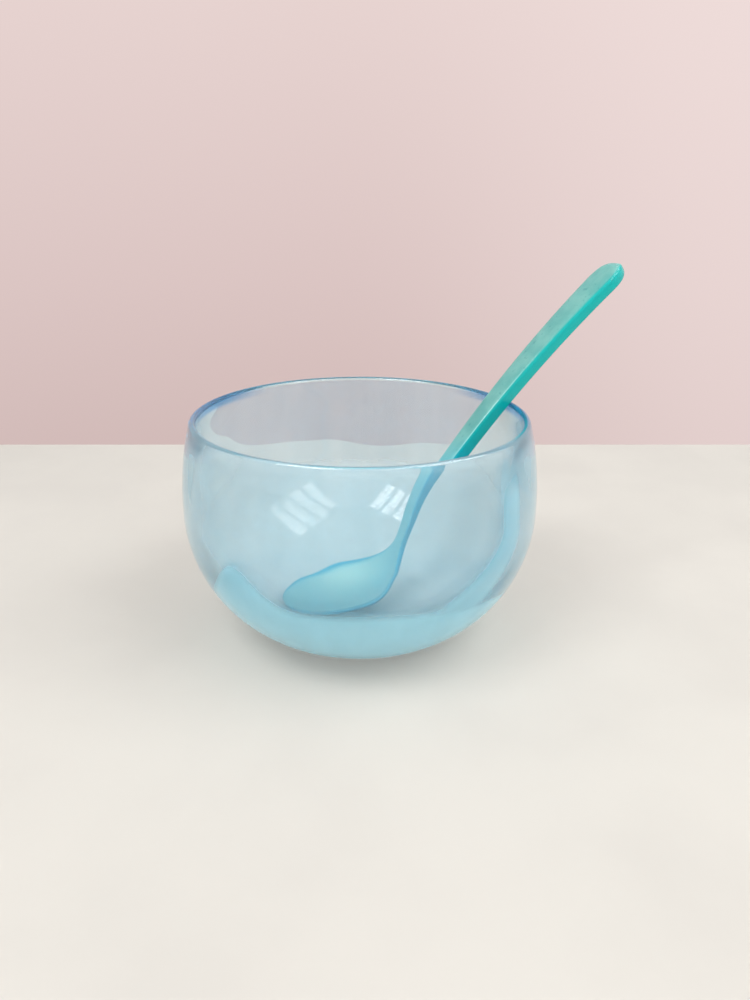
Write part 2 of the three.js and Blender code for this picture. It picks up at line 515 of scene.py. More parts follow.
def settle(piece: bpy.types.Object) -> None:
    """Turns a piece's modifiers into its plain mesh, with its faces pointing outwards.

    Args:
        piece: The object, which keeps its name.
    """
    evaluated = piece.evaluated_get(bpy.context.evaluated_depsgraph_get())
    mesh = bpy.data.meshes.new_from_object(evaluated)
    piece.modifiers.clear()
    piece.data = mesh
    volume = sum(
        (Vector(mesh.vertices[a].co).cross(mesh.vertices[b].co)).dot(mesh.vertices[c].co)
        for a, b, c in (tuple(t.vertices) for t in triangles(mesh))
    )
    if volume < 0.0:
        mesh.flip_normals()


class Piece:
    """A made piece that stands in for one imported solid, which its own class names."""

    node: str
    body: str
    slot: str

    def dress(self, made: bpy.types.Object) -> None:
        """Ties the made object to its body and hides its solid.

        Args:
            made: The object, with its plain mesh.
        """
        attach(made, self.body)
        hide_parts(self.node)


class WallFace(Enum):
    """The stretches of the glass's section, in the order in which its outline runs."""

    BASE = "base"
    OUTER = "outer"
    LIP = "lip"
    INNER = "inner"
    FLOOR = "floor"


@dataclass(frozen=True)
class SpunPoint:
    """What the spinning tree knows at each point of the bowl.

    It has the tree's named inputs, the point's angle round the axis, its place across and up in the
    section, the section's measures there, and how far the point faces the front and to its side.
    """

    graph: Graph
    given: Mapping[str, Wire]
    angle: Wire
    across: Wire
    up: Wire
    here: Mapping[str, Wire]
    front: Wire
    side: Wire

    def moved(self, radius: Wire, up: Wire) -> Wire:
        """The place at the point's angle with another radius and height."""
        x, y = self.angle.cosine() * radius, self.angle.sine() * radius
        return self.graph.add("ShaderNodeCombineXYZ", {}, {"X": x, "Y": y, "Z": up})

    def off(self, centre: Wire, width: Wire) -> Wire:
        """How far the point is turned away from an angle, in widths."""
        return ((self.angle - centre + math.pi) % FULL_TURN - math.pi) / width


@dataclass(frozen=True)
class GlassMarks:
    """The marks of the bowl: its wandering inner wall from its making, and its milky glass and pale
    films, which partly carry painted light.

    The plain numbers are the named inputs of the tree that spins the bowl, and the spans are where its
    rises start and end. A facing is 1 at the front of the bowl, 0 at its sides and -1 at its back.
    """

    # The ripple of the inner wall, and its lean.
    ripple_depth: float = 0.9 * MM
    ripple_scale: float = 38.0
    ripple_stretch: float = 0.55
    ripple_seed: float = 3.7
    ripple_side: float = math.radians(65.0)
    ripple_facing: Span = (-0.35, 0.35)
    lean: float = 0.5 * MM
    lean_towards: float = math.radians(-32.0)
    # The milky streak, straight at the top and turning forwards lower down: part milk, part painted
    # light piped through thick glass.
    streak_at: float = math.radians(-66.0)
    streak_width: float = math.radians(5.2)
    streak_spread: float = 18.0 * MM
    streak_turn: float = math.radians(1.3) / MM
    streak_bend: float = 51.0 * MM
    streak_ease: float = 12.0 * MM
    streak_milk: float = 0.8
    streak_low: float = 58.0 * MM
    streak_high: float = 77.0 * MM
    streak_edge: Span = (0.2, 1.6)
    # The milky bottom, higher at the front over the dish's shade, with a crest on the left: part milk,
    # part painted light.
    milk_front: float = math.radians(-115.0)
    milk_height: float = 17.0 * MM
    milk_tilt: float = 15.0 * MM
    milk_edge: float = 5.0 * MM
    crest_at: float = math.radians(-154.0)
    crest_width: float = math.radians(11.0)
    crest_height: float = 14.0 * MM
    # The pale films: the lining, part milk and part painted light; a painted highlight on the lip;
    # painted light at the sides.
    lining_above: float = 0.26
    lining_clears: Span = (12.0 * MM, 32.0 * MM)
    # A painted highlight along the lip, at its front and, weaker, at its back.
    lip_pale: float = 0.14
    lip_pale_front: Span = (0.35, 0.7)
    lip_pale_back: Span = (0.6, 0.95)
    lip_pale_behind: float = 0.5
    # Painted light at the left and right sides, as pale film and as milk.
    side_pale: float = 0.38
    side_milk: float = 0.22
    side_beside: Span = (0.42, 0.86)
    side_facing: Span = (-0.3, 0.0)
    # The painted deep blue at the two ends of the lip, for light's long paths through the glass.
    gathered_facing: float = -0.2
    gathered_reach: float = 0.6

    def inputs(self) -> dict[str, float]:
        """The plain numbers, under the names of the tree's inputs."""
        numbers = {name: value for name, value in asdict(self).items() if isinstance(value, float)}
        return {name.replace("_", " ").title(): value for name, value in numbers.items()}

    def wander(self, point: SpunPoint) -> Wire:
        """How far the inner wall can wander outwards: a soft ripple at the back, less a lean.

        Args:
            point: What is known at each point.

        Returns:
            The distance.
        """
        given = point.given
        spot = point.moved(point.across, point.up * given["Ripple Stretch"] + given["Ripple Seed"])
        noise = point.graph.add("ShaderNodeTexNoise", {"noise_dimensions": "3D"}, {
            "Vector": spot, "Scale": given["Ripple Scale"], "Detail": 0.0,
        }, "Fac")
        facing = (point.angle - given["Ripple Side"]).cosine().rise(*self.ripple_facing)
        ripple = (noise - 0.5) * 2.0 * given["Ripple Depth"] * facing
        lean = (point.angle - given["Lean Towards"]).cosine() * given["Lean"]
        return ripple - lean

    def beside(self, point: SpunPoint) -> Wire:
        """How far a point is on the left or the right side of the bowl, from 0 to 1."""
        return (point.side * point.side).rise(*self.side_beside) * point.front.rise(*self.side_facing)

    def milk(self, point: SpunPoint, beside: Wire) -> Wire:
        """How milky the outer wall is: the bottom with its crest and the streak, part milk and part
        painted light, and painted light at the sides.

        Args:
            point: What is known at each point.
            beside: How far it is on a side of the bowl.

        Returns:
            The milkiness, from 0 to 1.
        """
        given, up = point.given, point.up
        below = (given["Streak Bend"] - up).at_least(0.0)
        turned = below * below / (below + given["Streak Ease"]) * given["Streak Turn"]
        width = given["Streak Width"] * (1.0 + below / given["Streak Spread"])
        from_streak = point.off(given["Streak At"] - turned, width)
        fading = 1.0 - up.rise(given["Streak Low"], given["Streak High"])
        across_streak = 1.0 - (from_streak * from_streak).rise(*self.streak_edge)
        streak = across_streak * given["Streak Milk"] * fading
        from_crest = point.off(given["Crest At"], given["Crest Width"])
        crest = (from_crest * from_crest * -1.0).exponential() * given["Crest Height"]
        tilt = point.front * given["Milk Tilt"]
        over = (up - given["Milk Height"] - tilt - crest) / given["Milk Edge"]
        bottom = 1.0 - over.rise(-0.5, 0.5)
        # The side milk is painted light at the sides.
        return point.here["milky"] * bottom.at_least(streak).at_least(beside * given["Side Milk"])

    def pale(self, point: SpunPoint, beside: Wire) -> Wire:
        """How pale the glass is: its lining, partly painted light; a painted highlight on the lip;
        painted light at the sides.

        Args:
            point: What is known at each point.
            beside: How far it is on a side of the bowl.

        Returns:
            The paleness, from 0 to 1.
        """
        given, here, front = point.given, point.here, point.front
        thin = given["Lining Above"]
        behind = 1.0 - (front * point.across).rise(*self.lining_clears)
        lined = here["inside"] * (thin + (1.0 - thin) * here["lining"] * behind)
        # The painted highlight along the lip, at the front and the back.
        back = (front * -1.0).rise(*self.lip_pale_back) * given["Lip Pale Behind"]
        lip = here["lip"] * given["Lip Pale"] * (front.rise(*self.lip_pale_front) + back)
        # Painted light at the sides.
        sides = here["milky"] * given["Side Pale"] * beside
        return lined.at_least(lip).at_least(sides)

    def lip_colour(self, point: SpunPoint) -> Wire:
        """How much of the painted deep blue shows: most at the two ends of the lip."""
        away = (point.front - point.given["Gathered Facing"]) / point.given["Gathered Reach"]
        return point.here["gathered"] * (1.0 - (away * away).rise(0.0, 1.0))


@dataclass
class GlassBowl(Piece):
    """The blown bowl: one shell with a thick bottom, a fire-polished lip and an uneven inner wall."""

    finish: BlownGlass
    marks: GlassMarks
    node: str = "glass_bowl"
    body: str = "bowl"
    slot: str = "pale_blue_glass"
    # The section.
    belly_height: float = 44.4 * MM
    rim_radius: float = 56.1 * MM
    base_radius: float = 22.7 * MM
    floor_radius: float = 22.0 * MM
    floor_thickness: float = 8.0 * MM
    belly_wall: float = 4.6 * MM
    lip_thickness: float = 2.4 * MM
    lower_wall_power: float = 1.065
    shoulder_power: float = 2.25
    segments: int = 256
    wall_steps: int = 56
    shoulder_steps: int = 28
    lip_steps: int = 16
    flat_steps: int = 8
    weld: float = 0.002 * MM
    # Where the section's measures start and end.
    uneven_above_floor: Span = (2.0 * MM, 14.0 * MM)
    even_below_lip: Span = (16.0 * MM, 3.0 * MM)
    milk_below_lip: Span = (7.0 * MM, 2.0 * MM)
    pale_below_lip: Span = (3.5 * MM, 1.5 * MM)
    gathered_below_lip: Span = (4.2 * MM, 2.4 * MM)
    lining_height: float = 50.0 * MM

    def __post_init__(self) -> None:
        """Takes the bowl's outer sizes from its solid, and draws its outline."""
        _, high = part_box(self.node)
        self.belly_radius = high.x
        self.height = high.z
        self.lip_round = self.lip_thickness / 2.0
        rise = self.height - self.belly_height
        self.lip_lean = math.atan(self.shoulder_power * (self.belly_radius - self.rim_radius) / rise)
        self.outline = self._outline()

    def _lip_point(self, angle: float) -> ProfilePoint:
        """A point of the lip's round bead."""
        across = self.rim_radius - self.lip_round + self.lip_round * math.cos(angle)
        return across, self.height - self.lip_round + self.lip_round * math.sin(angle)

    def _wall(self, foot: ProfilePoint, belly: float, top: ProfilePoint) -> list[ProfilePoint]:
        """One face of the wall.

        Args:
            foot: Where it leaves the flat.
            belly: Its radius at the belly.
            top: Where it meets the lip.

        Returns:
            Its points from the foot up to the lip.
        """
        points = []
        for step in range(self.wall_steps + 1):
            turn = step / self.wall_steps * QUARTER_TURN
            out = math.sin(turn) ** self.lower_wall_power
            up = 1.0 - max(math.cos(turn), 0.0) ** self.lower_wall_power
            across = foot[0] + (belly - foot[0]) * out
            points.append((across, foot[1] + (self.belly_height - foot[1]) * up))
        for step in range(1, self.shoulder_steps + 1):
            share = step / self.shoulder_steps
            across = belly - (belly - top[0]) * share ** self.shoulder_power
            points.append((across, self.belly_height + (top[1] - self.belly_height) * share))
        return points

    def _outline(self) -> list[tuple[ProfilePoint, WallFace]]:
        """Draws the section's outline.

        Returns:
            Its points and their faces, from the middle of the base round to the middle of the floor.
        """
        outer_top = self._lip_point(self.lip_lean)
        inner_top = self._lip_point(math.pi + self.lip_lean)
        inner_belly = self.belly_radius - self.belly_wall
        floor_foot = (self.floor_radius, self.floor_thickness)
        flats = [step / self.flat_steps for step in range(self.flat_steps)]
        turns = [math.pi * step / self.lip_steps for step in range(1, self.lip_steps)]
        stretches = {
            WallFace.BASE: [(self.base_radius * share, 0.0) for share in flats],
            WallFace.OUTER: self._wall((self.base_radius, 0.0), self.belly_radius, outer_top),
            WallFace.LIP: [self._lip_point(self.lip_lean + turn) for turn in turns],
            WallFace.INNER: self._wall(floor_foot, inner_belly, inner_top)[::-1],
            WallFace.FLOOR: [(self.floor_radius * share, self.floor_thickness) for share in flats[::-1]],
        }
        return [(point, face) for face, points in stretches.items() for point in points]

    def _towards_lip(self, below: Span, point: ProfilePoint) -> float:
        """Rises from 0 to 1 between two distances below the top of the lip."""
        far, near = below
        return smooth_step(self.height - far, self.height - near, point[1])

    def _uneven(self, point: ProfilePoint, face: WallFace) -> float:
        """How far the inner wall wanders at a point: not at all at the floor and at the lip.

        Args:
            point: The point of the section.
            face: The face that it is on.

        Returns:
            The share of the wandering, from 0 to 1.
        """
        above = smooth_step(*(self.floor_thickness + up for up in self.uneven_above_floor), point[1])
        wall = above * (1.0 - self._towards_lip(self.even_below_lip, point))
        return wall if face is WallFace.INNER else 0.0

    def _milky(self, point: ProfilePoint, face: WallFace) -> float:
        """Where milky glass and its painted light can lie: on the base and on the outer wall, but not up
        to the lip.
        """
        wall = 1.0 - self._towards_lip(self.milk_below_lip, point)
        return {WallFace.BASE: 1.0, WallFace.OUTER: wall}.get(face, 0.0)

    def _lining(self, point: ProfilePoint, face: WallFace) -> float:
        """How milky the glass is towards the inside, partly as painted light: most at the floor, and
        fading up the wall.
        """
        wall = 1.0 - smooth_step(self.floor_thickness, self.lining_height, point[1])
        return wall * self._inside(point, face)

    def _inside(self, point: ProfilePoint, face: WallFace) -> float:
        """Whether a point is on the inside."""
        return float(face in (WallFace.INNER, WallFace.FLOOR))

    def _lip(self, point: ProfilePoint, face: WallFace) -> float:
        """How far a point belongs to the lip."""
        return 1.0 if face is WallFace.LIP else self._towards_lip(self.pale_below_lip, point)

    def _gathered(self, point: ProfilePoint, face: WallFace) -> float:
        """Where the painted deep blue of the lip can show: only at the lip and just below it."""
        return self._towards_lip(self.gathered_below_lip, point)

    def _measures(self) -> dict[str, Callable[[ProfilePoint, WallFace], float]]:
        """What the section says of the glass at each of its points, by name."""
        return {
            "uneven": self._uneven, "milky": self._milky, "lining": self._lining,
            "inside": self._inside, "lip": self._lip, "gathered": self._gathered,
        }

    def _section(self) -> bpy.types.Object:
        """Makes the outline an object.

        Returns:
            The object: one row of points that carry their measures.
        """
        mesh = bpy.data.meshes.new("glass_section")
        points = [(across, 0.0, up) for (across, up), _ in self.outline]
        mesh.from_pydata(points, [(i, i + 1) for i in range(len(points) - 1)], [])
        for name, measure in self._measures().items():
            values = mesh.attributes.new(name, "FLOAT", "POINT")
            values.data.foreach_set("value", [measure(point, face) for point, face in self.outline])
        section = bpy.data.objects.new("glass_bowl_blown", mesh)
        bpy.context.scene.collection.objects.link(section)
        return section

    def _spun_point(self, graph: Graph, given: Mapping[str, Wire], rows: Wire) -> SpunPoint:
        """Reads the section at each point of the grid.

        Args:
            graph: The tree.
            given: Its named inputs.
            rows: How many points the section has.

        Returns:
            What is known at each point.
        """
        index = graph.add("GeometryNodeInputIndex")
        angle = (index / rows).floor() / given["Segments"] * FULL_TURN
        row = index % rows

        def read(kind: str, value: Wire) -> Wire:
            """Reads a value of the section at the point's row."""
            inputs = {"Geometry": given["Section"], "Value": value, "Index": row}
            return graph.add("GeometryNodeSampleIndex", {"data_type": kind}, inputs)

        place = read("FLOAT_VECTOR", graph.add("GeometryNodeInputPosition"))
        across = graph.add("ShaderNodeSeparateXYZ", {}, {"Vector": place}, "X")
        named = {
            name: graph.add("GeometryNodeInputNamedAttribute", {"data_type": "FLOAT"}, {"Name": name})
            for name in self._measures()
        }
        here = {name: read("FLOAT", value) for name, value in named.items()}
        turned = angle - given["Milk Front"]
        front, side = turned.cosine(), turned.sine()
        return SpunPoint(graph, given, angle, across, across.other("Z"), here, front, side)

    def _spinning_tree(self) -> bpy.types.NodeTree:
        """Builds the tree that spins the section into the bowl and lets its inner wall wander.

        Returns:
            The tree, whose named inputs are still to be set.
        """
        tree = bpy.data.node_groups.new("spin_glass", "GeometryNodeTree")
        kinds = {
            "Section": "NodeSocketGeometry",
            "Segments": "NodeSocketInt",
            **dict.fromkeys(self.marks.inputs(), "NodeSocketFloat"),
            "Glass": "NodeSocketMaterial",
        }
        for name, kind in kinds.items():
            tree.interface.new_socket(name, in_out="INPUT", socket_type=kind)
        tree.interface.new_socket("Bowl", in_out="OUTPUT", socket_type="NodeSocketGeometry")
        graph = Graph(tree)
        entry = graph.add("NodeGroupInput")
        given = {name: entry.other(name) for name in kinds}
        counted = {"Geometry": given["Section"]}
        rows = graph.add("GeometryNodeAttributeDomainSize", {}, counted, "Point Count")
        point = self._spun_point(graph, given, rows)
        beside = self.marks.beside(point)
        masks = {
            self.finish.milk_mask: self.marks.milk(point, beside),
            self.finish.pale_mask: self.marks.pale(point, beside),
            self.finish.lip_mask: self.marks.lip_colour(point),
        }
        radius = point.across + point.here["uneven"] * self.marks.wander(point)
        corners = {"Vertices X": given["Segments"] + 1.0, "Vertices Y": rows}
        grid = graph.add("GeometryNodeMeshGrid", {}, corners, "Mesh")
        place = point.moved(radius, point.up)
        bowl = graph.add("GeometryNodeSetPosition", {}, {"Geometry": grid, "Position": place})
        for name, value in masks.items():
            settings = {"data_type": "FLOAT", "domain": "POINT"}
            inputs = {"Geometry": bowl, "Name": name, "Value": value}
            bowl = graph.add("GeometryNodeStoreNamedAttribute", settings, inputs)
        bowl = graph.add("GeometryNodeMergeByDistance", {}, {"Geometry": bowl, "Distance": self.weld})
        bowl = graph.add("GeometryNodeSetShadeSmooth", {}, {"Geometry": bowl, "Shade Smooth": True})
        bowl = graph.add("GeometryNodeRealizeInstances", {}, {"Geometry": bowl})
        bowl = graph.add("GeometryNodeSetMaterial", {}, {"Geometry": bowl, "Material": given["Glass"]})
        graph.add("NodeGroupOutput", {}, {"Bowl": bowl})
        return tree

    def build(self) -> bpy.types.Object:
        """Spins the section into the bowl's mesh.

        Returns:
            The bowl's object, with a plain mesh.
        """
        bowl = self._section()
        modifier = bowl.modifiers.new("spin", "NODES")
        modifier.node_group = self._spinning_tree()
        values = {"Segments": self.segments, **self.marks.inputs(), "Glass": self.finish.material()}
        for item in modifier.node_group.interface.items_tree:
            if item.in_out == "INPUT" and item.name in values:
                modifier[item.identifier] = values[item.name]
        settle(bowl)
        return bowl


@dataclass(frozen=True)
class Bend:
    """One arc of the spoon's side view: where it runs along the spoon and the angles at its ends."""

    start: float
    end: float
    start_angle: float
    end_angle: float

    def point(self, origin: ProfilePoint, along: float) -> tuple[ProfilePoint, float]:
        """A point of the arc.

        Args:
            origin: Where the arc starts.
            along: The length along the spoon.

        Returns:
            The point and the angle there.
        """
        run = along - self.start
        bend = (self.end_angle - self.start_angle) / (self.end - self.start)
        angle = self.start_angle + bend * run
        if bend == 0.0:
            ahead, up = run * math.cos(angle), run * math.sin(angle)
        else:
            ahead = (math.sin(angle) - math.sin(self.start_angle)) / bend
            up = (math.cos(self.start_angle) - math.cos(angle)) / bend
        return (origin[0] + ahead, origin[1] + up), angle


@dataclass
class ServingSpoon(Piece):
    """The cast spoon: a shallow pointed dish, a thin neck and a flat handle that widens to its end."""

    finish: CastResin
    node: str = "serving_spoon"
    body: str = "spoon"
    slot: str = "turquoise_resin"
    # The shape.
    dish_length: float = 30.0 * MM
    dish_width: float = 34.4 * MM
    dish_depth: float = 4.5 * MM
    dish_widest_at: float = 25.0 * MM
    shell_thickness: float = 2.0 * MM
    heel_length: float = 21.0 * MM
    neck_length: float = 28.2 * MM
    neck_width: float = 4.8 * MM
    neck_thickness: float = 2.4 * MM
    handle_length: float = 97.0 * MM
    handle_width: float = 12.4 * MM
    handle_thickness: float = 5.6 * MM
    end_round: float = 10.0 * MM
    heel_angle: float = math.radians(54.5)
    neck_angle: float = math.radians(40.5)
    end_angle: float = math.radians(28.0)
    squareness: float = 0.45
    section_points: int = 64
    tip_steps: int = 40
    heel_steps: int = 40
    handle_steps: int = 90
    end_steps: int = 28
    steepest_lean: float = math.radians(45.0)
    # The finish's places: its faces, its thin end, the painted light patch in the dish and the handle's
    # painted ridge highlights.
    face_from: Span = (0.72, 0.94)
    thin_about_handle: Span = (-10.0 * MM, 20.0 * MM)
    glow_past_widest: float = 3.0 * MM
    glow_length: float = 13.0 * MM
    glow_side: Span = (-0.5, 0.7)
    ridge_width: float = 0.035
    ridge_fades: Span = (15.0 * MM, 55.0 * MM)

    def __post_init__(self) -> None:
        """Chains the arcs of the side view, and finds the lean and the height of the solid."""
        self.neck_start = self.dish_length + self.heel_length
        self.handle_start = self.neck_start + self.neck_length
        self.length = self.handle_start + self.handle_length
        self.bends = (
            Bend(0.0, self.dish_length, 0.0, 0.0),
            Bend(self.dish_length, self.neck_start, 0.0, self.heel_angle),
            Bend(self.neck_start, self.handle_start, self.heel_angle, self.neck_angle),
            Bend(self.handle_start, self.length, self.neck_angle, self.end_angle),
        )
        self.place = self._seat()

    def _seat(self) -> Matrix:
        """Leans the spoon until it reaches as far as its solid, and lifts it until it stands as high.

        Returns:
            Where the spoon's own frame stands.
        """
        low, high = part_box(self.node)
        skin = [point for ring in self._rings() for point, _ in ring]
        reach = high.x - low.x

        def too_short(lean: float) -> bool:
            """Whether a lean makes the spoon shorter than its solid."""
            ahead = [x * math.cos(lean) - z * math.sin(lean) for x, _, z in skin]
            return max(ahead) - min(ahead) < reach

        turn = Matrix.Rotation(-bisect(0.0, self.steepest_lean, too_short), 4, "Y")
        turned = [turn @ Vector(point) for point in skin]
        corner = Vector(tuple(min(point[axis] for point in turned) for axis in range(3)))
        return Matrix.Translation(low - corner) @ turn

    def _spine(self, along: float) -> tuple[ProfilePoint, float]:
        """A point of the side view.

        Args:
            along: The length along the spoon.

        Returns:
            The point and the angle there.
        """
        origin = (0.0, 0.0)
        for bend in self.bends[:-1]:
            if along <= bend.end:
                return bend.point(origin, along)
            origin, _ = bend.point(origin, bend.end)
        return self.bends[-1].point(origin, along)

    def _half_width(self, along: float) -> float:
        """Half the spoon's width.

        Args:
            along: The length along the spoon.

        Returns:
            The half width there.
        """
        dish, neck = self.dish_width / 2.0, self.neck_width / 2.0
        if along < self.dish_widest_at:
            return dish * quarter_round(along, self.dish_widest_at)
        if along < self.neck_start:
            return neck + (dish - neck) * ease(along, self.dish_widest_at, self.neck_start)
        share = (along - self.neck_start) / (self.length - self.neck_start)
        handle = neck + (self.handle_width / 2.0 - neck) * share
        return handle * quarter_round(self.length - along, self.end_round)

    def _thickness(self, along: float) -> float:
        """The spoon's thickness.

        Args:
            along: The length along the spoon.

        Returns:
            The thickness there.
        """
        to_neck = 1.0 - ease(along, self.dish_widest_at, self.neck_start)
        to_handle = 1.0 - ease(along, self.neck_start, self.handle_start)
        body = (self.shell_thickness + (self.neck_thickness - self.shell_thickness) * to_neck
                + (self.handle_thickness - self.neck_thickness) * to_handle)
        tip = quarter_round(along, self.shell_thickness / 2.0)
        return body * tip * quarter_round(self.length - along, self.end_round / 2.0)

    def _depth(self, along: float) -> float:
        """How deep the dish is.

        Args:
            along: The length along the spoon.

        Returns:
            The depth there.
        """
        if along < self.dish_widest_at:
            return self.dish_depth * (1.0 - (1.0 - along / self.dish_widest_at) ** 2)
        return self.dish_depth * ease(along, self.dish_widest_at, self.neck_start)

    def _squared(self, value: float) -> float:
        """A cosine or sine drawn towards the corners of a rounded rectangle."""
        return math.copysign(abs(value) ** self.squareness, value)

    def _before(self, span: Span, along: float) -> float:
        """Falls from 1 to 0 between two lengths, both counted from the start of the handle."""
        start, end = span
        return 1.0 - smooth_step(self.handle_start + start, self.handle_start + end, along)

    def _skin(self, along: float, turn: float) -> SkinPoint:
        """A point of the skin.

        Args:
            along: The length along the spoon.
            turn: The angle round its section.

        Returns:
            The point in the spoon's own frame, and how far it belongs to the edge, to the thin end, to
            the painted light patch of the dish and to the painted highlights on the ridges of the
            handle.
        """
        (ahead, up), angle = self._spine(along)
        side = self._squared(math.cos(turn))
        height = self._squared(math.sin(turn))
        lift = self._thickness(along) / 2.0 * height - self._depth(along) * (1.0 - side * side)
        across = self._half_width(along) * side
        point = (ahead - lift * math.sin(angle), across, up + lift * math.cos(angle))
        edge = 1.0 - smooth_step(*self.face_from, abs(height))
        thin = self._before(self.thin_about_handle, along)
        # A painted light patch on the dish's far side, where more light falls.
        from_painted_light = (along - self.dish_widest_at - self.glow_past_widest) / self.glow_length
        glow = smooth_step(*self.glow_side, side) * math.exp(-from_painted_light * from_painted_light)
        # A painted highlight along each ridge of the handle, fading along it.
        from_painted_ridge = abs(height - self._squared(math.sqrt(0.5))) / self.ridge_width
        ridge = max(0.0, 1.0 - from_painted_ridge) * (1.0 - thin) * self._before(self.ridge_fades, along)
        return point, (edge, thin, glow, ridge)

    def _rings(self) -> list[list[SkinPoint]]:
        """The sections of the skin.

        Returns:
            The sections, closer together where the skin rounds off, with one point at each end.
        """
        def shares(steps: int) -> list[float]:
            """The ends of equal steps, as shares of their whole stretch."""
            return [step / steps for step in range(1, steps + 1)]

        heel = self.neck_start - self.dish_widest_at
        end_start = self.length - self.end_round
        handle = end_start - self.neck_start
        tip_turns = [QUARTER_TURN * share for share in shares(self.tip_steps)]
        end_turns = [QUARTER_TURN * share for share in shares(self.end_steps)[:-1]]
        stations = [
            *(self.dish_widest_at * (1.0 - math.cos(turn)) for turn in tip_turns),
            *(self.dish_widest_at + heel * share for share in shares(self.heel_steps)),
            *(self.neck_start + handle * share for share in shares(self.handle_steps)),
            *(end_start + self.end_round * math.sin(turn) for turn in end_turns),
        ]
        turns = [FULL_TURN * i / self.section_points for i in range(self.section_points)]
        rings = [[self._skin(along, turn) for turn in turns] for along in stations]
        return [[self._skin(0.0, 0.0)], *rings, [self._skin(self.length, 0.0)]]

    def build(self) -> bpy.types.Object:
        """Makes the spoon's mesh.

        Returns:
            The spoon's object, its place in its mesh.
        """
        rings = self._rings()
        count = self.section_points
        starts = [0] + [1 + i * count for i in range(len(rings) - 1)]
        last = starts[-1]
        faces: list[tuple[int, ...]] = []
        for i in range(count):
            after = (i + 1) % count
            faces.append((0, 1 + after, 1 + i))
            for near, far in zip(starts[1:-2], starts[2:-1]):
                faces.append((near + i, near + after, far + after, far + i))
            faces.append((starts[-2] + i, starts[-2] + after, last))
        skin = [entry for ring in rings for entry in ring]
        mesh = bpy.data.meshes.new("serving_spoon_cast")
        mesh.from_pydata([self.place @ Vector(point) for point, _ in skin], [], faces)
        for place, name in enumerate(self.finish.masks()):
            mask = mesh.attributes.new(name, "FLOAT", "POINT")
            mask.data.foreach_set("value", [masks[place] for _, masks in skin])
        mesh.polygons.foreach_set("use_smooth", [True] * len(mesh.polygons))
        mesh.materials.append(self.finish.material())
        spoon = bpy.data.objects.new("serving_spoon_cast", mesh)
        bpy.context.scene.collection.objects.link(spoon)
        settle(spoon)
        return spoon


@dataclass
class Viewpoint:
    """The camera, at the angle from which the bowl is seen."""

    azimuth: float = math.radians(-25.0)
    distance: float = 246.2 * MM
    height: float = 142.6 * MM
    pitch: float = math.radians(21.69)
    sensor: float = 36.0
    lens: float = 27.36
    shift: float = 0.0153
    nearest: float = 10.0 * MM

    def forward(self) -> Vector:
        """The level direction in which the camera looks."""
        return Vector((-math.sin(self.azimuth), math.cos(self.azimuth), 0.0))

    def right(self) -> Vector:
        """The level direction to the right of the view."""
        ahead = self.forward()
        return Vector((ahead.y, -ahead.x, 0.0))

    def build(self) -> bpy.types.Object:
        """Makes the scene's camera.

        Returns:
            The camera.
        """
        data = bpy.data.cameras.new("camera")
        data.sensor_width = self.sensor
        data.lens = self.lens
        data.shift_x = self.shift
        data.clip_start = self.nearest
        camera = bpy.data.objects.new("camera", data)
        camera.location = -self.distance * self.forward() + Vector((0.0, 0.0, self.height))
        camera.rotation_euler = (QUARTER_TURN - self.pitch, 0.0, self.azimuth)
        bpy.context.scene.collection.objects.link(camera)
        bpy.context.scene.camera = camera
        return camera


